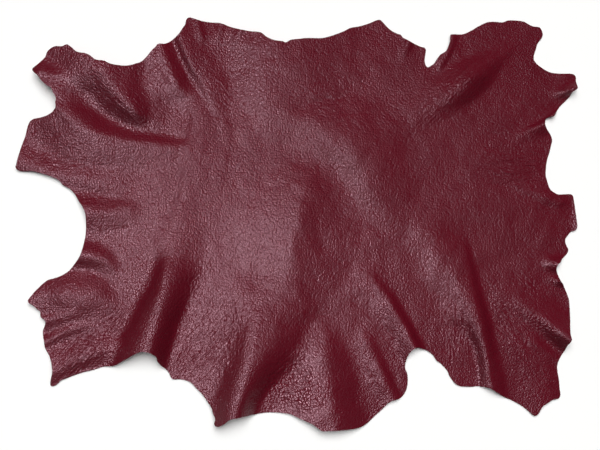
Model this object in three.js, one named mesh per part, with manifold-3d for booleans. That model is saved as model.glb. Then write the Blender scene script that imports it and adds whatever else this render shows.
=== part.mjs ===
// A whole goatskin of chrome-tanned leather, about 5 square feet, laid grain side up.
// It is one untrimmed sheet: the cut edge runs round the neck, the four shanks and the
// bellies, the middle lies flat on the bench and low folds run out to the edge.
// Millimetres, +Z up. The origin is on the resting plane, under the middle of the sheet.

import * as THREE from 'three';
import { mergeVertices } from 'three/addons/utils/BufferGeometryUtils.js';
import Module from 'manifold-3d';

const THICKNESS = 1.2;        // dressed goat leather
const BLANK_WIDTH = 918;      // the folded sheet before its edge is cut, along X
const BLANK_DEPTH = 680;      // and along Y
const CELL = 15.6;            // spacing of the sheet's points
const EDGE_STEPS = 2;         // straight lengths between two points of the edge
const CREST_STEPS = 6;        // straight lengths between two rows of a fold
const SOFT_LIFT = 1.5;        // how gently the sheet leaves the bench
const PUNCH_HEIGHT = 100;     // the outline's cutter stands this tall, past every fold
const EYE_HEIGHT = 1870;      // the eye that sees the edge and the folds as they are listed

const LEATHER_COLOUR = 0x6b2a34;
const LEATHER_ROUGHNESS = 0.42;

// The cut edge, clockwise from the tip of the upper left shank, seen from above: x, y.
const EDGE = {
  upperLeftShank: [[-423, 248], [-402, 268], [-399, 276], [-386, 285], [-375, 285],
    [-368, 288], [-353, 277], [-338, 274], [-322, 264], [-300, 258]],
  topHollowLeft: [[-271, 254], [-249, 260], [-233, 277], [-221, 289], [-210, 289], [-193, 300]],
  topTab: [[-178, 320], [-172, 331], [-154, 326], [-122, 322], [-90, 312], [-57, 307]],
  topHollowMiddle: [[-49, 301], [-30, 294], [-17, 291], [-10, 295], [15, 298], [41, 298],
    [66, 305], [86, 314], [118, 322], [134, 327]],
  topNotch: [[150, 311], [167, 303], [170, 299], [190, 288], [206, 282], [205, 261],
    [210, 251], [220, 257], [226, 267], [239, 277], [246, 295], [246, 303]],
  upperRightShank: [[266, 304], [290, 316], [305, 323], [330, 323], [338, 326], [364, 324],
    [382, 316], [391, 309], [394, 302], [387, 290], [380, 263], [393, 250], [410, 242],
    [443, 240], [447, 229], [450, 216], [436, 202], [422, 189], [412, 174]],
  rightHollow: [[398, 168], [400, 153], [408, 135], [407, 118], [401, 103], [399, 77],
    [406, 56], [418, 48], [439, 48]],
  rightFlank: [[446, 23], [449, -6], [439, -12], [430, -24], [435, -41], [425, -55],
    [416, -73], [421, -89], [436, -121], [438, -150], [439, -177]],
  lowerRightShank: [[441, -185], [434, -194], [419, -219], [417, -233], [422, -275],
    [410, -281], [394, -292], [382, -307], [358, -289], [332, -276], [310, -263],
    [290, -259]],
  bottomArch: [[260, -258], [248, -250], [240, -235], [225, -219], [212, -203], [194, -197],
    [183, -204], [174, -222], [177, -238], [176, -261], [166, -278], [150, -284]],
  bellyLobe: [[134, -299], [119, -313], [102, -325], [70, -329], [41, -330.5], [28, -322],
    [1, -309], [-23, -302], [-39, -301], [-71, -305], [-110, -315], [-124, -324],
    [-132, -320]],
  bottomHollow: [[-130, -312], [-136, -294], [-151, -272], [-170, -253], [-198, -248],
    [-209, -232], [-222, -220], [-229, -209], [-246, -204], [-266, -212]],
  lowerLeftShank: [[-289, -225], [-310, -228], [-354, -241], [-377, -250], [-388, -259],
    [-394, -256], [-391, -236], [-394, -215], [-402, -199], [-406, -171], [-402, -156],
    [-410, -147], [-410, -140], [-429, -126], [-430, -122], [-418, -107], [-402, -92]],
  leftHollow: [[-390, -87], [-366, -76], [-348, -53], [-339, -25], [-337, 4], [-342, 27],
    [-352, 45], [-365, 59]],
  leftLobe: [[-383, 72], [-407, 81], [-423, 85], [-447, 87], [-450, 94], [-443, 116],
    [-434, 141], [-426, 165], [-410, 171], [-391, 180], [-386, 197]],
  leftNotch: [[-385, 203], [-391, 215], [-400, 225], [-410, 233], [-415, 240]],
};

// Each fold is the line of its crest. A row is a point of that line, the height of the
// crest there, and how far its slope reaches on the left and on the right of somebody
// walking along it: x, y, height, left, right.
const FOLDS = {
  backbone: [[-174, 60, 0, 30, 30], [-179, 30, 2, 40, 44], [-188, -25, 5, 44, 56],
    [-198, -55, 9, 38, 30], [-212, -90, 18, 34, 32], [-220, -115, 23, 34, 38],
    [-231, -150, 27, 36, 45], [-242, -200, 31, 40, 52], [-250, -232, 32, 42, 56]],
  neckCrease: [[-184, 226, 0, 18, 26], [-170, 200, 3, 20, 28], [-161, 165, 3, 20, 30],
    [-168, 125, 2.5, 16, 30], [-174, 75, 2.5, 16, 30], [-180, 40, 0, 16, 30]],
  leftBelly: [[-48, -90, 0, 50, 40], [-57, -120, 8, 64, 44], [-65, -150, 14, 64, 42],
    [-71, -185, 18, 54, 44], [-77, -215, 22, 42, 46], [-88, -255, 25, 38, 46],
    [-99, -297, 27, 38, 44], [-106, -325, 28, 38, 44]],
  middleBelly: [[46, -128, 0, 30, 20], [42, -175, 8, 42, 42], [45, -215, 12, 52, 68],
    [52, -262, 15, 60, 92], [60, -318, 18, 66, 114], [64, -345, 19, 66, 118]],
  rightBelly: [[88, -160, 0, 16, 24], [104, -186, 4, 18, 30], [120, -220, 6, 18, 32],
    [135, -254, 7, 18, 32], [150, -290, 8, 20, 30]],
  arch: [[84, -72, 0, 20, 44], [108, -98, 5, 22, 48], [134, -122, 8, 20, 44],
    [154, -145, 11, 18, 36], [171, -168, 14, 18, 32], [188, -196, 18, 20, 32],
    [200, -222, 21, 22, 36]],
  sweepUpper: [[-66, 192, 0, 60, 50], [-20, 178, 4, 64, 52], [20, 164, 7, 74, 56],
    [60, 150, 9, 86, 56], [92, 134, 10, 90, 52], [114, 106, 9, 90, 50], [132, 66, 7, 80, 46],
    [156, 26, 3, 60, 44], [176, -10, 0, 50, 40]],
  sweepLower: [[186, 40, 0, 70, 50], [206, -5, 6, 76, 56], [227, -50, 8, 74, 52],
    [251, -90, 9, 60, 50], [275, -132, 8, 40, 40], [291, -172, 7, 28, 26],
    [300, -210, 6, 22, 20], [301, -270, 5, 22, 20]],
  sharpCrease: [[262, 6, 0, 12, 36], [274, -52, 4, 12, 42], [289, -125, 8, 16, 34],
    [309, -205, 10, 20, 26], [327, -285, 11, 22, 24]],
  lowerRightShank: [[306, -90, 0, 24, 20], [334, -104, 3, 28, 26], [362, -124, 7, 30, 30],
    [388, -146, 9, 30, 30], [412, -166, 10, 30, 30], [438, -183, 10, 30, 28],
    [460, -196, 10, 30, 28]],
  upperRightShank: [[128, 162, 0, 56, 40], [166, 172, 3, 62, 44], [202, 187, 7, 66, 52],
    [232, 206, 12, 66, 62], [262, 225, 16, 60, 68], [284, 241, 15, 44, 56],
    [305, 257, 9, 32, 24], [330, 270, 4, 26, 16], [352, 280, 0, 22, 14]],
  rightTab: [[345, 138, 0, 16, 24], [372, 150, 5, 16, 24], [398, 163, 10, 16, 24],
    [426, 180, 16, 16, 24]],
  rightTabTip: [[390, 200, 0, 16, 16], [414, 207, 5, 16, 16], [440, 215, 12, 16, 16],
    [460, 221, 16, 16, 16]],
  upperLeftShank: [[-414, 228, 9, 28, 40], [-386, 198, 12, 30, 46], [-350, 162, 12, 32, 56],
    [-325, 146, 10, 28, 62], [-298, 135, 8, 24, 66], [-262, 128, 7, 20, 60],
    [-220, 126, 5, 16, 50], [-185, 124, 3, 14, 40], [-166, 123, 0, 14, 30]],
  topHollow: [[-350, 286, 29, 98, 110], [-337, 255, 30, 98, 110], [-321, 226, 26, 94, 100],
    [-303, 200, 17, 80, 76], [-284, 176, 8, 60, 50], [-262, 156, 0, 40, 30]],
  hollowRim: [[-350, 192, 0, 60, 20], [-318, 180, 6, 96, 26], [-284, 168, 9, 96, 26],
    [-252, 160, 7, 84, 24], [-222, 158, 3, 60, 20], [-200, 158, 0, 40, 20]],
  topLeft: [[-226, 306, 8, 24, 54], [-218, 284, 8, 24, 52], [-206, 254, 7, 23, 46],
    [-192, 224, 4, 20, 38], [-178, 196, 0, 18, 28]],
  topTab: [[-190, 345, 10, 34, 22], [-178, 300, 8, 38, 24], [-158, 258, 6, 40, 24],
    [-136, 226, 3, 36, 22], [-118, 196, 0, 28, 20]],
  topMiddle: [[-28, 316, 10, 60, 100], [-33, 280, 9, 60, 98], [-40, 245, 7, 56, 84],
    [-50, 210, 3.5, 46, 60], [-58, 172, 0, 34, 40]],
  middle: [[36, 106, 0, 50, 80], [18, 62, 5, 80, 110], [0, 12, 8, 100, 130],
    [-4, -40, 7, 100, 130], [2, -92, 0, 80, 90]],
  leftLobe: [[-452, 112, 5, 50, 24], [-400, 98, 5, 40, 30], [-350, 84, 5, 30, 40],
    [-300, 80, 3, 26, 40], [-250, 84, 0, 24, 30]],
  leftHollowUpper: [[-360, 14, 12, 34, 40], [-324, 15, 11, 32, 40], [-292, 20, 8, 28, 40],
    [-264, 26, 4, 24, 34], [-238, 28, 0, 18, 28]],
  leftHollowLower: [[-362, -56, 17, 34, 46], [-334, -58, 14, 30, 44], [-310, -64, 9, 26, 38],
    [-294, -76, 4, 20, 30], [-282, -90, 0, 16, 26]],
  lowerLeftLobe: [[-446, -112, 8, 40, 50], [-400, -108, 8, 40, 52], [-360, -116, 6, 38, 48],
    [-316, -132, 3, 34, 40], [-290, -145, 0, 30, 34]],
  lowerLeftShank: [[-404, -244, 9, 44, 24], [-350, -214, 9, 40, 26], [-300, -198, 6, 30, 26],
    [-276, -192, 0, 24, 24]],
};

// A fold's crest as short straight lengths, its height and reaches eased along it.
function crestOf(rows) {
  const line = new THREE.CatmullRomCurve3(rows.map(([x, y]) => new THREE.Vector3(x, y, 0)));
  const points = [];
  const lengths = (rows.length - 1) * CREST_STEPS;
  for (let i = 0; i <= lengths; i += 1) {
    const along = i / CREST_STEPS;
    const row = Math.min(Math.floor(along), rows.length - 2);
    const part = along - row;
    const [height, left, right] = [2, 3, 4].map(
      (column) => rows[row][column] * (1 - part) + rows[row + 1][column] * part);
    const { x, y } = line.getPoint(i / lengths);
    points.push({ x, y, height, left, right });
  }
  return points;
}

// How far one fold lifts the sheet at (x, y): full height on the crest, nothing past its reach.
function liftOf(crest, x, y) {
  let nearest = Infinity;
  let lift = 0;
  for (let i = 0; i < crest.length - 1; i += 1) {
    const a = crest[i];
    const b = crest[i + 1];
    const dx = b.x - a.x;
    const dy = b.y - a.y;
    const t = THREE.MathUtils.clamp(
      ((x - a.x) * dx + (y - a.y) * dy) / (dx * dx + dy * dy), 0, 1);
    const offX = x - a.x - dx * t;
    const offY = y - a.y - dy * t;
    const distance = Math.hypot(offX, offY);
    if (distance < nearest) {
      nearest = distance;
      const side = dx * offY - dy * offX > 0 ? 'left' : 'right';
      const reach = THREE.MathUtils.lerp(a[side], b[side], t);
      const out = Math.min(distance / reach, 1);
      lift = THREE.MathUtils.lerp(a.height, b.height, t) * (1 - out * out) ** 2;
    }
  }
  return lift;
}

const crests = Object.values(FOLDS).map(crestOf);

// Height of the sheet's underside over the bench. Between the folds it is exactly nothing.
function underside(x, y) {
  const lift = crests.reduce((sum, crest) => sum + liftOf(crest, x, y), 0);
  return lift > 0 ? (lift * lift) / (lift + SOFT_LIFT) : 0;
}

// The blank: a flat board of fine cells, pressed over the folds and kept one thickness deep.
function foldedBlank() {
  const blank = new THREE.BoxGeometry(BLANK_WIDTH, BLANK_DEPTH, THICKNESS,
    Math.round(BLANK_WIDTH / CELL), Math.round(BLANK_DEPTH / CELL), 1);
  const point = new THREE.Vector3();
  const places = blank.attributes.position;
  for (let i = 0; i < places.count; i += 1) {
    point.fromBufferAttribute(places, i);
    const height = underside(point.x, point.y);
    const onTop = point.z > 0;
    const slopeX = underside(point.x + 1, point.y) - underside(point.x - 1, point.y);
    const slopeY = underside(point.x, point.y + 1) - underside(point.x, point.y - 1);
    const outward = new THREE.Vector3(-slopeX / 2, -slopeY / 2, 1).normalize();
    point.z = height;
    if (onTop) {
      point.addScaledVector(outward, THICKNESS);
    }
    places.setXYZ(i, point.x, point.y, point.z);
  }
  return blank;
}

// The edge as a closed smooth line through its points, stood up as a punch.
function outlinePunch() {
  const points = Object.values(EDGE).flat().map(([x, y]) => new THREE.Vector3(x, y, 0));
  const edge = new THREE.CatmullRomCurve3(points, true, 'centripetal');
  const outline = edge.getPoints(points.length * EDGE_STEPS).slice(0, -1);
  const shape = new THREE.Shape(outline.map(({ x, y }) => new THREE.Vector2(x, y)));
  const punch = new THREE.ExtrudeGeometry(shape, {
    depth: PUNCH_HEIGHT, bevelEnabled: false, steps: 1, curveSegments: 1,
  });
  punch.translate(0, 0, -PUNCH_HEIGHT / 2);
  return punch;
}

// The edge and the folds are listed as they look from straight above the middle, where what
// stands high looks further out than it is. This brings every point in to where it is.
function intoPlace(point) {
  const share = 1 - point[2] / EYE_HEIGHT;
  point[0] *= share;
  point[1] *= share;
}

const wasm = await Module();
wasm.setup();

function solidOf(geometry) {
  const bare = new THREE.BufferGeometry();
  bare.setAttribute('position', geometry.attributes.position.clone());
  bare.setIndex(geometry.index);
  const merged = mergeVertices(bare, 1e-3);
  return new wasm.Manifold(new wasm.Mesh({
    numProp: 3,
    vertProperties: merged.attributes.position.array,
    triVerts: Uint32Array.from(merged.index.array),
  }));
}

function geometryOf(solid) {
  const mesh = solid.getMesh();
  const geometry = new THREE.BufferGeometry();
  geometry.setAttribute('position', new THREE.BufferAttribute(mesh.vertProperties, 3));
  geometry.setIndex(new THREE.BufferAttribute(mesh.triVerts, 1));
  geometry.computeVertexNormals();
  return geometry;
}

const leather = new THREE.MeshStandardMaterial({
  color: LEATHER_COLOUR, roughness: LEATHER_ROUGHNESS, metalness: 0,
});

const cut = solidOf(foldedBlank()).intersect(solidOf(outlinePunch())).warp(intoPlace);
const hide = new THREE.Mesh(geometryOf(cut), leather);
hide.name = 'hide';

const model = new THREE.Group();
model.add(hide);

export default model;
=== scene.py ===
import math

import bmesh
import bpy
import numpy as np
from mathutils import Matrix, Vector, kdtree, noise


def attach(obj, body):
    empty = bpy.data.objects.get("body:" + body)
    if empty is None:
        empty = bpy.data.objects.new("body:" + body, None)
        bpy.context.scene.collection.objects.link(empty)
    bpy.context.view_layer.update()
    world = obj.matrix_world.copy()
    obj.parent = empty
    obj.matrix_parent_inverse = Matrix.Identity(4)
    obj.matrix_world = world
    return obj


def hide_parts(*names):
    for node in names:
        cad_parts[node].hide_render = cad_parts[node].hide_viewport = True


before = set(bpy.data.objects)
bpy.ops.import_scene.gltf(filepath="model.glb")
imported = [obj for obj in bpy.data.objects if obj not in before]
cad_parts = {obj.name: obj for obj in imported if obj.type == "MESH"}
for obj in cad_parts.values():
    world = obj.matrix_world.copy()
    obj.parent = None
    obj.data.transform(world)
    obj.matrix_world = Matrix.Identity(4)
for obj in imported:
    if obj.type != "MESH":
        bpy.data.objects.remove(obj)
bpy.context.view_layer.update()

MM = 0.001

# The skin: one whole goatskin of thin chrome-tanned leather, dyed and glazed on the grain
# side and left as suede on the flesh side. Nothing is sewn to it. It was never trimmed, so
# its edge keeps the neck, the four shanks and the bellies, and it lies grain side up.

THICKNESS = 1.2 * MM
CELL = 3.3 * MM
BLANK_WIDTH = 920 * MM
BLANK_DEPTH = 680 * MM
EDGE_STEPS = 6          # straight lengths between two points of the edge
CREST_STEPS = 8         # straight lengths between two rows of a fold
SOFT_LIFT = 1.5         # how gently the folds leave the bench, in millimetres
EDGE_PASSES = 3         # how often the cells are evened out along the edge
ROWS_BEHIND_EDGE = 3    # how many rows behind the edge are evened out with it
ROW_PASSES = 6          # how often those rows are evened out
SHARP_ANGLE = math.radians(50)
STEEP = 0.5             # a face whose normal rises or falls by less belongs to the cut edge

# The edge and the folds are listed as they look from this high above the middle. Raised parts
# look larger from there, so each place is brought in toward the middle by its height.
EYE_HEIGHT = 1870 * MM

# The slight unevenness of the skin: its waves a metre, how fast the finer waves fade, how much
# finer each is than the last, how many there are, how much of it stays over the bench, and how
# high it is.
RIPPLE_SCALE = 22
RIPPLE_FADE = 0.7
RIPPLE_STEP = 2.0
RIPPLE_OCTAVES = 3
RIPPLE_LEVEL = 0.6
RIPPLE_HEIGHT = 1.2 * MM

# The wrinkles of the grain run in this many directions, so many degrees apart.
LAY_COUNT = 4
LAY_STEP = 45

# The cut edge, clockwise from the tip of the upper left shank: x, y in millimetres.
EDGE = {
    "upper left shank": [
        (-423, 248), (-412, 258), (-402, 268), (-399, 276), (-394, 281), (-386, 285), (-375, 285),
        (-368, 288), (-361, 284), (-353, 277), (-346, 275), (-338, 274), (-330, 270), (-322, 264),
        (-308, 262), (-300, 258)],
    "top hollow left": [
        (-287, 255), (-271, 254), (-258, 257), (-249, 260), (-241, 267), (-233, 277), (-226, 284),
        (-221, 289), (-210, 289), (-201, 293), (-193, 300)],
    "top tab": [
        (-186, 308), (-183, 313), (-178, 320), (-176, 328), (-172, 331), (-166, 330), (-154, 326),
        (-138, 323), (-122, 322), (-106, 316), (-90, 312), (-74, 309), (-57, 307)],
    "top hollow middle": [
        (-49, 301), (-39, 296), (-30, 294), (-22, 293), (-17, 291), (-10, 295), (6, 297),
        (15, 298), (28, 298), (41, 298), (54, 301), (66, 305), (78, 310), (86, 314), (102, 317),
        (118, 322), (127, 326), (134, 327)],
    "top notch": [
        (140, 321), (150, 311), (161, 305), (167, 303), (170, 299), (178, 295), (190, 288),
        (199, 284), (206, 282), (207, 278), (206, 271), (205, 261), (207, 254), (210, 251),
        (214, 253), (220, 257), (225, 265), (231, 272), (239, 277), (243, 285), (246, 295),
        (246, 303)],
    "upper right shank": [
        (249, 304), (266, 304), (278, 309), (290, 316), (305, 323), (318, 324), (330, 323),
        (338, 326), (351, 326), (364, 324), (375, 318), (382, 316), (386, 316), (391, 313),
        (394, 302), (391, 296), (386, 290), (383, 280), (380, 271), (380, 263), (385, 256),
        (393, 250), (401, 245), (410, 242), (425, 241), (438, 241), (443, 240), (447, 236),
        (447, 229), (450, 219), (449, 216), (442, 212), (437, 204), (428, 195), (422, 189),
        (416, 181), (412, 174)],
    "right hollow": [
        (404, 172), (398, 168), (398, 160), (401, 152), (406, 144), (409, 135), (407, 125),
        (405, 116), (401, 103), (399, 88), (399, 77), (402, 66), (406, 56), (412, 51), (418, 48)],
    "right flank": [
        (430, 48), (439, 48), (442, 46), (444, 37), (446, 23), (448, 8), (449, -6), (446, -10),
        (439, -12), (434, -18), (430, -24), (431, -32), (435, -41), (432, -48), (425, -55),
        (423, -60), (419, -64), (416, -73), (419, -83), (422, -89), (428, -100), (433, -112),
        (436, -121), (437, -134), (438, -150), (438, -166), (439, -177)],
    "lower right shank": [
        (441, -185), (438, -190), (434, -194), (430, -201), (425, -208), (419, -219), (417, -228),
        (418, -238), (420, -249), (421, -262), (422, -275), (419, -279), (410, -281), (404, -285),
        (394, -292), (390, -299), (386, -305), (382, -307), (378, -305), (369, -297), (358, -289),
        (345, -282), (332, -276), (319, -268), (310, -263), (298, -260), (290, -259)],
    "bottom arch": [
        (281, -260), (271, -260), (262, -259), (254, -255), (249, -249), (245, -243), (241, -234),
        (234, -226), (230, -222), (225, -219), (222, -215), (218, -209), (210, -203), (201, -199),
        (194, -197), (188, -200), (183, -204), (178, -211), (174, -222), (174, -231), (177, -238),
        (178, -249), (177, -260), (172, -272), (166, -278)],
    "belly lobe": [
        (159, -281), (150, -284), (142, -291), (134, -299), (126, -306), (119, -313), (111, -320),
        (102, -325), (89, -328), (70, -330), (54, -331), (41, -331), (36, -328), (28, -322),
        (14, -315), (1, -309), (-10, -304), (-23, -302), (-39, -301), (-55, -302), (-71, -305),
        (-87, -309), (-102, -312), (-110, -315), (-116, -320), (-124, -324)],
    "bottom hollow": [
        (-129, -324), (-132, -320), (-130, -312), (-134, -302), (-136, -294), (-143, -283),
        (-151, -272), (-159, -264), (-170, -253), (-177, -250), (-186, -248), (-198, -248),
        (-202, -243), (-204, -238), (-209, -232), (-218, -225), (-222, -220), (-224, -213),
        (-230, -209), (-236, -206), (-246, -204), (-255, -206), (-266, -212)],
    "lower left shank": [
        (-279, -219), (-289, -225), (-295, -227), (-310, -228), (-322, -232), (-338, -236),
        (-354, -241), (-369, -247), (-377, -250), (-383, -256), (-388, -259), (-393, -259),
        (-394, -256), (-393, -248), (-391, -236), (-392, -225), (-394, -215), (-398, -206),
        (-402, -199), (-404, -188), (-406, -171), (-403, -163), (-402, -156), (-405, -152),
        (-410, -147), (-410, -140), (-415, -136), (-423, -129), (-429, -126), (-430, -122),
        (-425, -115), (-418, -107), (-410, -99), (-402, -92)],
    "left hollow": [
        (-397, -89), (-390, -87), (-378, -83), (-366, -76), (-356, -65), (-348, -53), (-343, -40),
        (-339, -25), (-337, -11), (-337, 4), (-338, 16), (-342, 27), (-348, 37), (-354, 47),
        (-362, 56)],
    "left lobe": [
        (-369, 60), (-374, 63), (-378, 68), (-383, 72), (-394, 77), (-407, 81), (-423, 85),
        (-439, 85), (-447, 87), (-450, 92), (-449, 94), (-447, 103), (-443, 116), (-439, 128),
        (-434, 141), (-430, 157), (-426, 165), (-422, 168), (-409, 171), (-398, 175), (-391, 180)],
    "left notch": [
        (-386, 187), (-386, 197), (-385, 200), (-386, 205), (-390, 212), (-393, 219), (-399, 222),
        (-405, 227), (-410, 232), (-414, 238), (-420, 243)],
}

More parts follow.
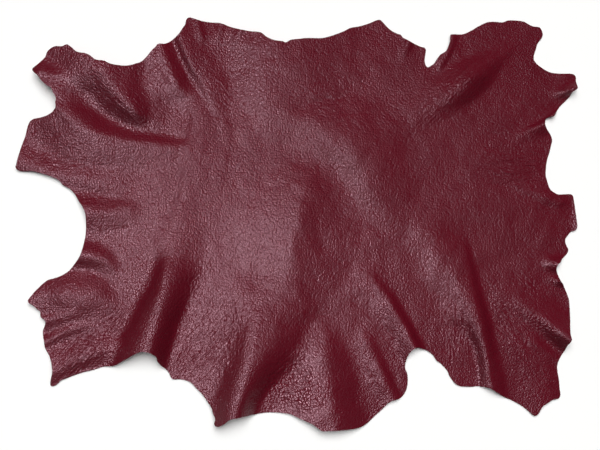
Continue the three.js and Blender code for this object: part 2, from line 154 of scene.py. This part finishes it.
# Each fold is the line of its crest, with how broad the crest is: 1 creased, 2 round, 3 flat.
# A row is a point of the line, the height there, and how far the slope reaches on the left
# and on the right of somebody walking along it: x, y, height, left, right in millimetres.
FOLDS = {
    "backbone": (1.8, [
        (-180, 50, 0, 30, 30), (-186, 20, 3, 40, 36), (-194, -25, 7, 60, 50),
        (-200, -55, 10, 62, 36), (-205, -75, 13, 60, 34), (-211, -100, 15, 54, 40),
        (-217, -125, 18, 48, 46), (-226, -155, 20, 42, 54), (-240, -205, 22, 40, 62),
        (-249, -235, 23, 40, 64)]),
    "backbone foot": (3, [
        (-196, -50, 0, 60, 16), (-206, -75, 4, 48, 20), (-212, -110, 8, 44, 28),
        (-228, -160, 9, 44, 40), (-242, -205, 9, 44, 50), (-250, -235, 9, 44, 50)]),
    "neck crease": (1.7, [
        (-184, 226, 0, 30, 24), (-170, 200, 4, 50, 22), (-162, 165, 5, 66, 20),
        (-168, 125, 5, 70, 20), (-176, 75, 4.5, 70, 20), (-184, 30, 3, 60, 20),
        (-190, -5, 0, 50, 20)]),
    "neck fold": (1.7, [
        (-132, 206, 0, 14, 18), (-114, 165, 1.6, 14, 18), (-110, 130, 1.6, 14, 18),
        (-120, 80, 1.4, 14, 18), (-132, 30, 0, 12, 18)]),
    "left belly": (1.9, [
        (-48, -104, 0, 70, 30), (-54, -122, 3, 90, 32), (-59, -150, 7, 100, 32),
        (-64, -182, 11, 96, 34), (-71, -215, 15, 70, 36), (-82, -255, 20, 44, 40),
        (-95, -297, 22, 36, 42), (-103, -325, 22, 36, 42)]),
    "left belly step": (2.6, [
        (-74, -80, 0, 60, 34), (-70, -108, 6, 90, 38), (-66, -155, 11, 110, 44),
        (-72, -200, 12, 90, 48), (-86, -245, 10, 56, 50), (-100, -290, 8, 40, 50),
        (-108, -325, 8, 40, 50)]),
    "belly rise": (2, [
        (-92, -50, 0, 40, 50), (-100, -90, 3, 40, 60), (-104, -140, 4, 40, 66),
        (-110, -200, 4, 40, 72), (-124, -270, 4, 40, 76)]),
    "middle belly": (1.75, [
        (44, -146, 0, 34, 24), (42, -172, 5, 40, 34), (44, -210, 11, 50, 62),
        (52, -262, 15, 60, 92), (60, -318, 18, 66, 114), (64, -345, 19, 66, 118)]),
    "right belly": (1.7, [
        (98, -160, 0, 16, 26), (114, -188, 4, 17, 32), (130, -222, 6, 17, 34),
        (146, -256, 7, 17, 34), (162, -292, 8, 18, 34)]),
    "belly tip": (1.8, [
        (156, -206, 0, 12, 12), (166, -232, 1.5, 14, 14), (172, -262, 2, 16, 14)]),
    "arch": (1.7, [
        (94, -62, 0, 20, 46), (117, -85, 4, 18, 48), (141, -112, 7, 16, 46),
        (159, -140, 10, 15, 40), (176, -168, 12, 15, 36), (190, -197, 14, 16, 34),
        (200, -221, 16, 18, 34)]),
    "sweep upper": (1.85, [
        (-66, 188, 0, 40, 50), (-20, 174, 4, 60, 52), (20, 160, 8, 70, 56),
        (56, 146, 11, 80, 58), (84, 128, 12, 96, 54), (104, 101, 11, 104, 50),
        (122, 62, 9, 96, 46), (147, 24, 5, 80, 44), (172, -14, 0, 60, 40)]),
    "sweep lower": (1.75, [
        (190, 40, 0, 60, 50), (208, -5, 6, 60, 50), (229, -50, 8, 56, 52), (252, -90, 9, 50, 50),
        (275, -132, 9, 36, 46), (290, -170, 8, 28, 28), (299, -206, 4, 20, 16),
        (301, -270, 3, 18, 14)]),
    "sharp crease": (1.5, [
        (262, 6, 0, 10, 36), (268, -24, 2, 9, 40), (274, -52, 4, 9, 42), (281, -86, 6, 11, 40),
        (289, -125, 8, 14, 34), (299, -165, 9, 18, 30), (306, -205, 10, 22, 24),
        (312, -245, 11, 26, 22), (320, -285, 11, 26, 22)]),
    "fan": (1.7, [
        (298, -60, 0, 30, 20), (322, -120, 1.4, 34, 24), (346, -180, 2, 36, 26),
        (368, -235, 2.4, 38, 28), (388, -300, 2.4, 38, 28)]),
    "fan edge": (1.7, [
        (330, -60, 0, 20, 30), (352, -110, 2, 20, 30), (376, -170, 3, 22, 34),
        (396, -230, 3, 24, 34), (412, -290, 3, 24, 34)]),
    "lower right shank": (1.7, [
        (318, -94, 0, 30, 18), (341, -110, 1.5, 34, 22), (363, -126, 4, 38, 26),
        (387, -144, 9, 40, 28), (411, -163, 15, 40, 30), (437, -182, 21, 40, 30),
        (460, -198, 25, 40, 30)]),
    "shank crease": (1.6, [
        (366, -172, 0, 10, 14), (388, -192, 2, 10, 16), (410, -210, 3, 10, 18),
        (434, -226, 3, 10, 18)]),
    "right edge fold": (2, [
        (376, -58, 0, 18, 18), (394, -61, 3, 18, 18), (412, -63, 10, 18, 18),
        (432, -66, 18, 18, 18)]),
    "right edge pleat": (1.7, [
        (394, -84, 0, 12, 12), (410, -88, 4, 10, 12), (424, -92, 10, 10, 12),
        (440, -95, 15, 10, 12)]),
    "flank lip": (1.8, [
        (450, 50, 0, 16, 16), (456, 34, 4, 16, 20), (455, 4, 6, 16, 20), (450, -20, 0, 16, 16)]),
    "upper right shank": (1.8, [
        (130, 152, 0, 40, 30), (168, 166, 3, 44, 34), (204, 182, 6, 48, 36),
        (236, 201, 10, 50, 36), (266, 222, 15, 48, 38), (287, 241, 16, 38, 36),
        (308, 258, 8, 30, 30), (330, 272, 4, 26, 20), (356, 283, 0, 22, 16)]),
    "notch lip": (1.7, [
        (252, 306, 5, 12, 16), (243, 276, 5, 10, 16), (231, 256, 4, 9, 16), (224, 240, 0, 8, 14)]),
    "top streak": (1.6, [
        (188, 308, 9, 12, 15), (180, 290, 6, 12, 14), (171, 272, 3, 12, 13),
        (165, 256, 0, 12, 12)]),
    "right tab": (1.7, [
        (345, 138, 0, 10, 24), (372, 150, 5, 9, 24), (398, 163, 10, 9, 24),
        (426, 180, 16, 10, 24)]),
    "right tab tip": (1.7, [
        (402, 203, 0, 14, 14), (414, 207, 3, 14, 14), (440, 215, 15, 16, 14),
        (460, 221, 22, 16, 14)]),
    "right hollow": (1.7, [
        (340, 62, 0, 22, 12), (372, 52, 2.5, 24, 12), (398, 42, 4, 24, 12), (420, 34, 4, 24, 12)]),
    "upper left shank": (1.7, [
        (-418, 235, 13, 42, 60), (-390, 205, 19, 48, 80), (-354, 169, 21, 48, 84),
        (-328, 149, 19, 42, 84), (-299, 139, 15, 34, 76), (-262, 132, 11, 27, 60),
        (-220, 127, 8, 21, 50), (-185, 124, 5, 16, 40), (-166, 122, 0, 12, 30)]),
    "top hollow": (1.5, [
        (-338, 300, 31, 114, 150), (-326, 270, 31, 110, 140), (-306, 238, 28, 92, 84),
        (-284, 208, 20, 62, 50), (-260, 184, 11, 38, 34), (-238, 164, 0, 24, 26)]),
    "hollow rim": (1.9, [
        (-326, 210, 0, 60, 34), (-304, 202, 3, 84, 40), (-280, 190, 8, 90, 40),
        (-254, 178, 9, 92, 36), (-230, 169, 6, 80, 30), (-206, 164, 0, 50, 24)]),
    "left notch": (1.6, [
        (-392, 196, 2, 10, 9), (-375, 178, 2, 10, 9), (-360, 162, 1.5, 10, 9),
        (-348, 150, 0, 10, 9)]),
    "upper left tip": (1.7, [
        (-412, 244, 2, 20, 10), (-388, 241, 2, 22, 10), (-362, 234, 2, 22, 10),
        (-338, 222, 0, 20, 10)]),
    "top left": (1.8, [
        (-226, 306, 9, 60, 130), (-218, 284, 9, 60, 130), (-206, 254, 8, 54, 110),
        (-192, 224, 6, 46, 76), (-178, 196, 0, 34, 44)]),
    "top left crease": (1.3, [
        (-224, 306, 8, 32, 90), (-216, 284, 8, 32, 90), (-204, 254, 7, 28, 80),
        (-190, 224, 5, 24, 50), (-176, 200, 0, 18, 24)]),
    "top tab": (1.7, [
        (-198, 345, 10, 84, 16), (-186, 300, 12, 84, 16), (-168, 258, 11, 80, 16),
        (-148, 226, 8, 66, 16), (-132, 196, 4, 48, 16), (-124, 172, 0, 30, 14)]),
    "tab pleat": (1.7, [
        (-160, 336, 4, 8, 9), (-154, 306, 3, 8, 9), (-146, 286, 0, 8, 9)]),
    "small tab pleat": (1.7, [
        (-116, 330, 4, 9, 10), (-124, 306, 2, 9, 10), (-132, 290, 0, 9, 10)]),
    "edge pleat": (1.7, [
        (-84, 318, 4, 9, 14), (-94, 300, 2, 9, 12), (-106, 284, 0, 9, 10)]),
    "top middle": (1.8, [
        (-32, 316, 16, 170, 140), (-37, 280, 15, 170, 130), (-44, 245, 13, 160, 90),
        (-50, 212, 10, 140, 60), (-48, 180, 6, 110, 44), (-36, 150, 2, 80, 36),
        (-20, 125, 0, 60, 30)]),
    "middle": (1.4, [
        (36, 106, 0, 50, 80), (18, 62, 8, 80, 110), (0, 12, 13, 95, 130), (-4, -40, 12, 95, 130),
        (0, -90, 9, 95, 100), (8, -130, 5, 70, 60), (14, -160, 0, 40, 40)]),
    "right of middle": (1.8, [
        (52, 50, 0, 40, 40), (62, 10, 2, 44, 36), (72, -30, 3, 44, 36), (86, -72, 0, 44, 36)]),
    "left lobe": (1.75, [
        (-456, 104, 8, 44, 26), (-402, 86, 8, 34, 28), (-350, 74, 8, 28, 30),
        (-300, 68, 5, 26, 30), (-254, 70, 0, 22, 26)]),
    "left hollow upper": (1.85, [
        (-366, 30, 13, 34, 44), (-334, 21, 12, 34, 40), (-302, 20, 8, 28, 40),
        (-272, 22, 5, 24, 34), (-244, 24, 0, 18, 28)]),
    "left hollow lower": (1.85, [
        (-362, -48, 13, 32, 26), (-334, -50, 11, 30, 26), (-310, -57, 8, 26, 24),
        (-294, -72, 4, 20, 22), (-282, -86, 0, 16, 20)]),
    "lower left lobe": (1.75, [
        (-446, -122, 7, 30, 60), (-402, -113, 10, 36, 64), (-366, -111, 14, 48, 66),
        (-326, -115, 12, 46, 60), (-300, -130, 5, 34, 50), (-284, -146, 0, 30, 40)]),
    "lower left shank": (1.7, [
        (-404, -244, 9, 44, 24), (-350, -214, 9, 40, 26), (-300, -198, 6, 30, 26),
        (-276, -192, 0, 24, 24)]),
    "lower left crease": (1.7, [
        (-408, -192, 6, 14, 14), (-386, -180, 6, 14, 14), (-358, -168, 5, 14, 16),
        (-330, -163, 2.5, 12, 18), (-306, -162, 0, 12, 18)]),
    "lower left pleat": (1.6, [
        (-420, -152, 5, 14, 20), (-396, -154, 5, 14, 20), (-366, -146, 3, 14, 20),
        (-340, -140, 0, 12, 18)]),
}


# Where the grain is drawn into wrinkles, and where its pebbles are coarse: the middle of the
# place, half its length and width, the way the wrinkles run, and how strong the wrinkles
# and the coarse pebbles are there: x, y, length, width in millimetres, degrees, 0 to 1, 0 to 1.
GRAIN = {
    "upper left shank": [(-306, 227, 56, 22, 123, 0.8, 0.2), (-400, 245, 40, 30, 160, 0.2, 0.5)],
    "top hollow rim": [(-214, 244, 50, 26, 122, 0.7, 0.7), (-250, 190, 40, 26, 130, 0.5, 0.1)],
    "left lobe": [(-374, 99, 62, 18, 172, 0.9, 0), (-306, 47, 38, 14, 15, 0.8, 0),
                  (-390, 140, 40, 24, 170, 0.4, 0.1)],
    "left middle": [(-290, 110, 60, 30, 175, 0.3, 0.1), (-250, -20, 60, 50, 160, 0.2, 0.1)],
    "top tab": [(-54, 255, 46, 32, 92, 0.5, 0.2), (-114, 207, 60, 30, 130, 0.4, 0.1)],
    "lower left shank": [(-338, -185, 64, 24, 20, 1, 0.2), (-354, -217, 48, 20, 40, 0.9, 0.3),
                         (-366, -113, 44, 18, 150, 0.6, 0.1), (-286, -153, 38, 22, 35, 0.8, 0.1)],
    "bottom left": [(-174, -121, 64, 14, 80, 0.5, 0.2), (-154, -209, 64, 38, 58, 1, 0.6),
                    (-98, -169, 44, 26, 75, 0.7, 0.4), (-150, -80, 60, 30, 60, 0.3, 0.3)],
    "belly": [(-18, -241, 60, 34, 60, 0.4, 0.9), (20, -270, 50, 40, 10, 0.25, 1),
              (122, -245, 44, 16, 125, 0.7, 0.5), (138, -173, 44, 20, 130, 0.8, 0.3)],
    "middle": [(106, -61, 90, 60, 105, 0.3, 0.2), (-60, -40, 90, 70, 30, 0.12, 0.3),
               (98, 191, 96, 54, 140, 0.35, 0.1)],
    "bottom right": [(254, -173, 44, 28, 96, 1, 0.4), (225, -60, 60, 30, 115, 0.35, 0.3),
                     (350, -181, 94, 36, 123, 1, 0.1), (374, -97, 38, 18, 120, 0.7, 0.3),
                     (394, -161, 44, 14, 145, 0.2, 1)],
    "right": [(346, 95, 64, 36, 2, 0.9, 0.2), (403, 23, 34, 28, 170, 0.5, 0.4),
              (406, -62, 20, 14, 170, 0.1, 0.8), (400, 178, 40, 20, 25, 0.4, 0.4)],
    "upper right shank": [(262, 227, 74, 22, 38, 0.8, 0.5), (200, 165, 60, 20, 20, 0.4, 0.1)],
}


def smooth_line(points, steps, closed=False):
    """A centripetal Catmull-Rom line through the points, in short straight lengths."""
    points = np.asarray(points, float)
    if closed:
        knots = np.vstack([points[-1:], points, points[:2]])
    else:
        knots = np.vstack([2 * points[:1] - points[1:2], points, 2 * points[-1:] - points[-2:-1]])
    line = []
    for p0, p1, p2, p3 in zip(knots, knots[1:], knots[2:], knots[3:]):
        t1 = np.linalg.norm((p1 - p0)[:2]) ** 0.5
        t2 = t1 + np.linalg.norm((p2 - p1)[:2]) ** 0.5
        t3 = t2 + np.linalg.norm((p3 - p2)[:2]) ** 0.5
        for t in np.linspace(t1, t2, steps, endpoint=False):
            a1 = (t1 - t) / t1 * p0 + t / t1 * p1
            a2 = (t2 - t) / (t2 - t1) * p1 + (t - t1) / (t2 - t1) * p2
            a3 = (t3 - t) / (t3 - t2) * p2 + (t - t2) / (t3 - t2) * p3
            b1 = (t2 - t) / t2 * a1 + t / t2 * a2
            b2 = (t3 - t) / (t3 - t1) * a2 + (t - t1) / (t3 - t1) * a3
            line.append((t2 - t) / (t2 - t1) * b1 + (t - t1) / (t2 - t1) * b2)
    if not closed:
        line.append(points[-1])
    return np.array(line)


def lift_of(fold, x, y):
    """How far one fold lifts the sheet over each point: all at its crest, 0 past its reach."""
    breadth, rows = fold
    crest = smooth_line(rows, CREST_STEPS)
    nearest = np.full(x.shape, np.inf)
    lift = np.zeros(x.shape)
    for a, b in zip(crest, crest[1:]):
        dx, dy = (b - a)[:2]
        t = np.clip(((x - a[0]) * dx + (y - a[1]) * dy) / (dx * dx + dy * dy), 0, 1)
        off_x = x - a[0] - dx * t
        off_y = y - a[1] - dy * t
        distance = np.hypot(off_x, off_y)
        height, left, right = (a[i] + (b[i] - a[i]) * t for i in (2, 3, 4))
        reach = np.where(dx * off_y - dy * off_x > 0, left, right)
        out = np.minimum(distance / reach, 1)
        profile = (1 - out ** breadth) ** 2
        closer = distance < nearest
        lift = np.where(closer, height * profile, lift)
        nearest = np.minimum(nearest, distance)
    return lift


def sheet_height(x, y):
    """Height of the flesh side over the bench, in millimetres: 0 wherever no fold reaches."""
    lift = sum(lift_of(fold, x, y) for fold in FOLDS.values())
    return np.where(lift > 0, lift * lift / (np.maximum(lift, 0) + SOFT_LIFT), 0)


def ripple_at(place):
    """The slight unevenness of the skin at one place."""
    wave = noise.fractal(place * RIPPLE_SCALE, RIPPLE_FADE, RIPPLE_STEP, RIPPLE_OCTAVES)
    return max(wave + RIPPLE_LEVEL, 0) * RIPPLE_HEIGHT


def grain_weights(x, y):
    """How strongly wrinkles run in each direction over each point, and its coarseness."""
    weights = np.zeros((len(x), LAY_COUNT + 1))
    for mid_x, mid_y, length, width, degrees, wrinkled, coarse in sum(GRAIN.values(), []):
        cos, sin = math.cos(math.radians(degrees)), math.sin(math.radians(degrees))
        along = ((x - mid_x) * cos + (y - mid_y) * sin) / length
        across = ((y - mid_y) * cos - (x - mid_x) * sin) / width
        near = np.exp(-(along * along + across * across))
        for i in range(LAY_COUNT):
            off = abs((degrees - LAY_STEP * i + 90) % 180 - 90)
            weights[:, i] += near * wrinkled * max(0, 1 - off / LAY_STEP)
        weights[:, LAY_COUNT] += near * coarse
    return np.minimum(weights, 1)


def inside(outline, x, y):
    """Which points lie inside the closed outline."""
    found = np.zeros(x.shape, bool)
    for (x1, y1), (x2, y2) in zip(outline, np.roll(outline, -1, axis=0)):
        if y1 == y2:
            continue
        crosses = (y1 > y) != (y2 > y)
        found ^= crosses & (x < (x2 - x1) * (y - y1) / (y2 - y1) + x1)
    return found


outline = smooth_line(sum(EDGE.values(), []), EDGE_STEPS, closed=True) * MM
outline_tree = kdtree.KDTree(len(outline))
for i, (x, y) in enumerate(outline):
    outline_tree.insert((x, y, 0), i)
outline_tree.balance()


def onto_outline(vert):
    """Move a vertex to the nearest place on the outline."""
    _, i, _ = outline_tree.find(vert.co)
    here = Vector((*outline[i], 0))
    best = here
    for j in (i - 1, (i + 1) % len(outline)):
        along = Vector((*outline[j], 0)) - here
        t = (vert.co - here).dot(along) / along.length_squared
        place = here + along * min(max(t, 0), 1)
        if (place - vert.co).length < (best - vert.co).length:
            best = place
    vert.co = best


def placed(name, data):
    """Put a mesh, a light or a camera into the scene."""
    item = bpy.data.objects.new(name, data)
    bpy.context.collection.objects.link(item)
    return item


# The blank: a flat board of fine cells, cut to the outline.
skin = bmesh.new()
bmesh.ops.create_grid(
    skin, x_segments=round(BLANK_WIDTH / CELL), y_segments=round(BLANK_DEPTH / CELL), size=0.5)
bmesh.ops.scale(skin, verts=skin.verts, vec=(BLANK_WIDTH, BLANK_DEPTH, 1))
centres = np.array([face.calc_center_median()[:2] for face in skin.faces])
kept = inside(outline, centres[:, 0], centres[:, 1])
offcut = [face for face, keep in zip(skin.faces, kept) if not keep]
bmesh.ops.delete(skin, geom=offcut, context="FACES")

# The stepped edge of the grid is drawn onto the outline, and the rows behind it are evened out.
edge_verts = [vert for vert in skin.verts if vert.is_boundary]
for vert in edge_verts:
    onto_outline(vert)
for _ in range(EDGE_PASSES):
    middles = []
    for vert in edge_verts:
        pair = [edge.other_vert(vert).co for edge in vert.link_edges if edge.is_boundary]
        middles.append(vert.co.lerp(sum(pair, Vector()) / len(pair), 0.5))
    for vert, middle in zip(edge_verts, middles):
        vert.co = middle
        onto_outline(vert)
near_edge = set(edge_verts)
for _ in range(ROWS_BEHIND_EDGE):
    near_edge |= {edge.other_vert(vert) for vert in near_edge for edge in vert.link_edges}
near_edge = list(near_edge - set(edge_verts))
for _ in range(ROW_PASSES):
    bmesh.ops.smooth_vert(skin, verts=near_edge, factor=0.5, use_axis_x=True, use_axis_y=True)

# The sheet is raised over its folds, given its thickness and parted into its three surfaces.
places = np.array([vert.co[:2] for vert in skin.verts]) / MM
heights = sheet_height(places[:, 0], places[:, 1]) * MM
for vert, height in zip(skin.verts, heights):
    vert.co.z = THICKNESS + height + ripple_at(vert.co)
    vert.co.xy *= 1 - vert.co.z / EYE_HEIGHT
skin.normal_update()
bmesh.ops.recalc_face_normals(skin, faces=skin.faces)
if sum(face.normal.z for face in skin.faces) < 0:
    bmesh.ops.reverse_faces(skin, faces=skin.faces)
bmesh.ops.solidify(skin, geom=list(skin.faces), thickness=THICKNESS)
skin.normal_update()
for face in skin.faces:
    face.smooth = True
    face.material_index = 0 if face.normal.z > STEEP else 1 if face.normal.z < -STEEP else 2
skin_mesh = bpy.data.meshes.new("goatskin")
skin.to_mesh(skin_mesh)
skin.free()
skin_mesh.set_sharp_from_angle(angle=SHARP_ANGLE)
goatskin = placed("goatskin", skin_mesh)

weights = grain_weights(*np.array([vert.co[:2] for vert in skin_mesh.vertices]).T / MM)
lay = skin_mesh.attributes.new("wrinkle lay", "FLOAT_COLOR", "POINT")
lay.data.foreach_set("color", weights[:, :LAY_COUNT].ravel())
coarse = skin_mesh.attributes.new("coarse grain", "FLOAT", "POINT")
coarse.data.foreach_set("value", weights[:, LAY_COUNT].copy())


def new_material(name, roughness=0.5, specular=0.5):
    material = bpy.data.materials.new(name)
    material.use_nodes = True
    tree = material.node_tree
    shader = tree.nodes["Principled BSDF"]
    shader.inputs["Roughness"].default_value = roughness
    shader.inputs["Specular IOR Level"].default_value = specular
    return material, tree, shader


def add(tree, kind, inputs=None, **settings):
    """Add one node, with its settings and the values or links of its inputs."""
    node = tree.nodes.new(kind)
    for name, value in settings.items():
        setattr(node, name, value)
    for name, value in (inputs or {}).items():
        if isinstance(value, bpy.types.NodeSocket):
            tree.links.new(value, node.inputs[name])
        else:
            node.inputs[name].default_value = value
    return node


def worked(tree, operation, *values):
    """The result of one step of arithmetic."""
    return add(tree, "ShaderNodeMath", dict(enumerate(values)), operation=operation).outputs[0]


def noisy(tree, place, scale, detail, **inputs):
    """A noise with so many waves a metre."""
    inputs.update({"Vector": place, "Scale": scale, "Detail": detail})
    return add(tree, "ShaderNodeTexNoise", inputs)


def object_place(tree):
    return add(tree, "ShaderNodeTexCoord").outputs["Object"]


def set_colour(tree, shader, dark, light, factor):
    tone = add(tree, "ShaderNodeMix", {"Factor": factor, "A": dark, "B": light}, data_type="RGBA")
    tree.links.new(tone.outputs["Result"], shader.inputs["Base Color"])


def set_bump(tree, shader, height, distance):
    bump = add(tree, "ShaderNodeBump", {"Height": height, "Distance": distance, "Strength": 1.0})
    tree.links.new(bump.outputs[0], shader.inputs["Normal"])


# Grain side: pebbled by milling, then glazed. The creases between the pebbles are painted darker,
# partly for the dye they keep and partly as painted shade.
GRAIN_COLOUR = (0.106, 0.0030, 0.0099, 1)
GRAIN_DYE_AND_SHADE_DARK = (0.069, 0.0017, 0.0065, 1)
GLAZE_TINT = (1.0, 0.64, 0.76, 1)
GLAZE_SPECULAR = 0.42
GROOVE_ROUGHNESS = 0.46
TOP_ROUGHNESS = 0.19
FINE_PEBBLE = 3.1 * MM
COARSE_PEBBLE = 4.4 * MM
PEBBLE_SPREAD = 0.9
GROOVE = 0.25
GROOVE_DEPTH = 0.1
PEBBLE_RELIEF = 0.225
DRIFT_SCALE = 240
DRIFT_REACH = 1.7 * MM
FUZZ_SCALE = 900
FUZZ_DEPTH = 0.8 * MM
WRINKLE_LENGTH = 30 * MM
WRINKLE_WIDTH = 6 * MM
WRINKLE_DEPTH = 24 * MM
CLOUD_SCALE = 14
grain, tree, shader = new_material("glazed grain", specular=GLAZE_SPECULAR)
shader.inputs["Specular Tint"].default_value = GLAZE_TINT
place = object_place(tree)

# A drift pushes the places on the skin about, so that no pattern on it runs straight.
drift = noisy(tree, place, DRIFT_SCALE, 2)
centred = add(tree, "ShaderNodeVectorMath", {0: drift.outputs["Color"], 1: (0.5, 0.5, 0.5)},
              operation="SUBTRACT").outputs[0]
grain_place = add(tree, "ShaderNodeVectorMath", {0: centred, 1: (DRIFT_REACH,) * 3, 2: place},
                  operation="MULTIPLY_ADD").outputs[0]


def pebbles(size):
    """Round pebbles of one size with a groove between them: their height and their tops."""
    cells = {"Vector": grain_place, "Scale": 1 / size, "Randomness": PEBBLE_SPREAD}
    middle = add(tree, "ShaderNodeTexVoronoi", cells, feature="F1")
    border = add(tree, "ShaderNodeTexVoronoi", cells, feature="DISTANCE_TO_EDGE")
    top = add(tree, "ShaderNodeMapRange", {
        "Value": border.outputs["Distance"], "From Min": 0.0, "From Max": GROOVE},
        interpolation_type="SMOOTHSTEP").outputs[0]
    fall = worked(tree, "POWER", middle.outputs["Distance"], 2.0)
    height = worked(tree, "MULTIPLY_ADD", top, GROOVE_DEPTH, 1.0)
    return worked(tree, "MULTIPLY", worked(tree, "SUBTRACT", height, fall), size), top


def mixed(factor, a, b):
    return add(tree, "ShaderNodeMix", {"Factor": factor, "A": a, "B": b}).outputs["Result"]


coarseness = add(tree, "ShaderNodeAttribute", attribute_name="coarse grain").outputs["Fac"]
fine_height, fine_top = pebbles(FINE_PEBBLE)
coarse_height, coarse_top = pebbles(COARSE_PEBBLE)
relief = mixed(coarseness, fine_height, coarse_height)
top = mixed(coarseness, fine_top, coarse_top)
fuzz = noisy(tree, place, FUZZ_SCALE, 3)
relief = worked(tree, "MULTIPLY_ADD", fuzz.outputs["Fac"], FUZZ_DEPTH, relief)

# Wrinkles: stretched waves in each lay direction, as strong as the skin is drawn in there.
lay = add(tree, "ShaderNodeAttribute", attribute_name="wrinkle lay")
lay_parts = add(tree, "ShaderNodeSeparateColor", {"Color": lay.outputs["Color"]})
lay_strengths = [lay_parts.outputs["Red"], lay_parts.outputs["Green"], lay_parts.outputs["Blue"],
                 lay.outputs["Alpha"]]
for i, strength in enumerate(lay_strengths):
    turned = add(tree, "ShaderNodeMapping", {
        "Vector": grain_place, "Rotation": (0, 0, math.radians(LAY_STEP * i)),
        "Scale": (WRINKLE_LENGTH, WRINKLE_WIDTH, WRINKLE_LENGTH)}, vector_type="TEXTURE")
    waves = noisy(tree, turned.outputs[0], 1, 2, Distortion=0.4)
    folded = worked(tree, "ABSOLUTE", worked(tree, "SUBTRACT", waves.outputs["Fac"], 0.5))
    wrinkle = worked(tree, "MULTIPLY", folded, WRINKLE_DEPTH)
    relief = worked(tree, "MULTIPLY_ADD", wrinkle, strength, relief)
set_bump(tree, shader, relief, PEBBLE_RELIEF)
cloud = noisy(tree, place, CLOUD_SCALE, 4)
# Colour: darker red at random in a cloud, and darker in the grooves between the pebble tops,
# partly for dye kept there and partly as painted shade.
set_colour(tree, shader, GRAIN_DYE_AND_SHADE_DARK, GRAIN_COLOUR,
           worked(tree, "MULTIPLY", cloud.outputs["Fac"], top))
dull = add(tree, "ShaderNodeMapRange", {
    "Value": top, "From Min": 0.0, "From Max": 1.0,
    "To Min": GROOVE_ROUGHNESS, "To Max": TOP_ROUGHNESS})
tree.links.new(dull.outputs[0], shader.inputs["Roughness"])
skin_mesh.materials.append(grain)

# Flesh side: a short suede nap, brushed to light and dark patches.
FLESH_COLOUR = (0.23, 0.060, 0.075, 1)
FLESH_DARK = (0.13, 0.028, 0.038, 1)
FLESH_ROUGHNESS = 0.95
FLESH_SPECULAR = 0.2
PATCH_SCALE = 22
NAP_SCALE = 700
NAP_DEPTH = 0.5 * MM
flesh, tree, shader = new_material("flesh side suede", FLESH_ROUGHNESS, FLESH_SPECULAR)
place = object_place(tree)
patches = noisy(tree, place, PATCH_SCALE, 5).outputs["Fac"]
nap = noisy(tree, place, NAP_SCALE, 4).outputs["Fac"]
shade = worked(tree, "MULTIPLY_ADD", nap, 0.5, patches)
shade = add(tree, "ShaderNodeMapRange", {"Value": shade, "From Min": 0.5, "From Max": 1.0})
set_colour(tree, shader, FLESH_DARK, FLESH_COLOUR, shade.outputs[0])
set_bump(tree, shader, nap, NAP_DEPTH)
skin_mesh.materials.append(flesh)

# Cut edge: the raw fibres between the glaze and the suede, with the dye worn to a lighter red.
EDGE_COLOUR = (0.20, 0.055, 0.065, 1)
EDGE_DARK = (0.07, 0.010, 0.016, 1)
EDGE_ROUGHNESS = 0.8
FIBRE_SCALE = 420
FIBRE_DEPTH = 0.3 * MM
cut_edge, tree, shader = new_material("cut edge", EDGE_ROUGHNESS)
fibres = noisy(tree, object_place(tree), FIBRE_SCALE, 5).outputs["Fac"]
worn = add(tree, "ShaderNodeMapRange", {"Value": fibres, "From Min": 0.4, "From Max": 0.65})
set_colour(tree, shader, EDGE_DARK, EDGE_COLOUR, worn.outputs[0])
set_bump(tree, shader, fibres, FIBRE_DEPTH)
skin_mesh.materials.append(cut_edge)

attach(goatskin, "root")
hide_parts("hide")

# The bench top: plain white paper, wide enough to fill every view.
BENCH_REACH = 6.0
PAPER_COLOUR = (0.86, 0.86, 0.85, 1)
PAPER_ROUGHNESS = 0.9
bench = bmesh.new()
bmesh.ops.create_grid(bench, x_segments=2, y_segments=2, size=BENCH_REACH)
bench_mesh = bpy.data.meshes.new("bench")
bench.to_mesh(bench_mesh)
bench.free()
bench_top = placed("bench", bench_mesh)
paper, tree, shader = new_material("white paper", PAPER_ROUGHNESS)
shader.inputs["Base Color"].default_value = PAPER_COLOUR
bench_mesh.materials.append(paper)

# Light: a softbox high on the left gives the gloss, and a wide even skylight the rest.
SOFTBOX_WIDTH = 0.28
SOFTBOX_LENGTH = 1.2
SOFTBOX_PLACE = Vector((-0.60, -0.22, 1.5))
SOFTBOX_WATTS = 38
softbox = bpy.data.lights.new("softbox", "AREA")
softbox.shape = "RECTANGLE"
softbox.size = SOFTBOX_WIDTH
softbox.size_y = SOFTBOX_LENGTH
softbox.energy = SOFTBOX_WATTS
softbox_object = placed("softbox", softbox)
softbox_object.location = SOFTBOX_PLACE
softbox_object.rotation_euler = (0, math.atan2(SOFTBOX_PLACE.x, SOFTBOX_PLACE.z), 0)
softbox_object.visible_camera = False
softbox_object.visible_diffuse = False

SKYLIGHT_DIRECTION = Vector((-0.05, -0.5, -1.0))
SKYLIGHT_SPREAD = math.radians(50)
SKYLIGHT_STRENGTH = 3.9
skylight = bpy.data.lights.new("skylight", "SUN")
skylight.angle = SKYLIGHT_SPREAD
skylight.energy = SKYLIGHT_STRENGTH
skylight_object = placed("skylight", skylight)
skylight_object.rotation_euler = SKYLIGHT_DIRECTION.to_track_quat("-Z", "Y").to_euler()
skylight_object.visible_glossy = False

STUDIO_STRENGTH = 0.06
world = bpy.data.worlds.new("studio")
world.use_nodes = True
background = world.node_tree.nodes["Background"]
background.inputs["Color"].default_value = (1, 1, 1, 1)
background.inputs["Strength"].default_value = STUDIO_STRENGTH
bpy.context.scene.world = world
bpy.context.scene.view_settings.view_transform = "Standard"

# Camera: straight above the skin.
VIEW_WIDTH = 0.960
VIEW_CENTRE = (0.0056, -0.0012)
LENS = 70
SENSOR = 36
camera = bpy.data.cameras.new("camera")
camera.lens = LENS
camera.sensor_width = SENSOR
camera_object = placed("camera", camera)
camera_object.location = (*VIEW_CENTRE, VIEW_WIDTH * LENS / SENSOR)
bpy.context.scene.camera = camera_object
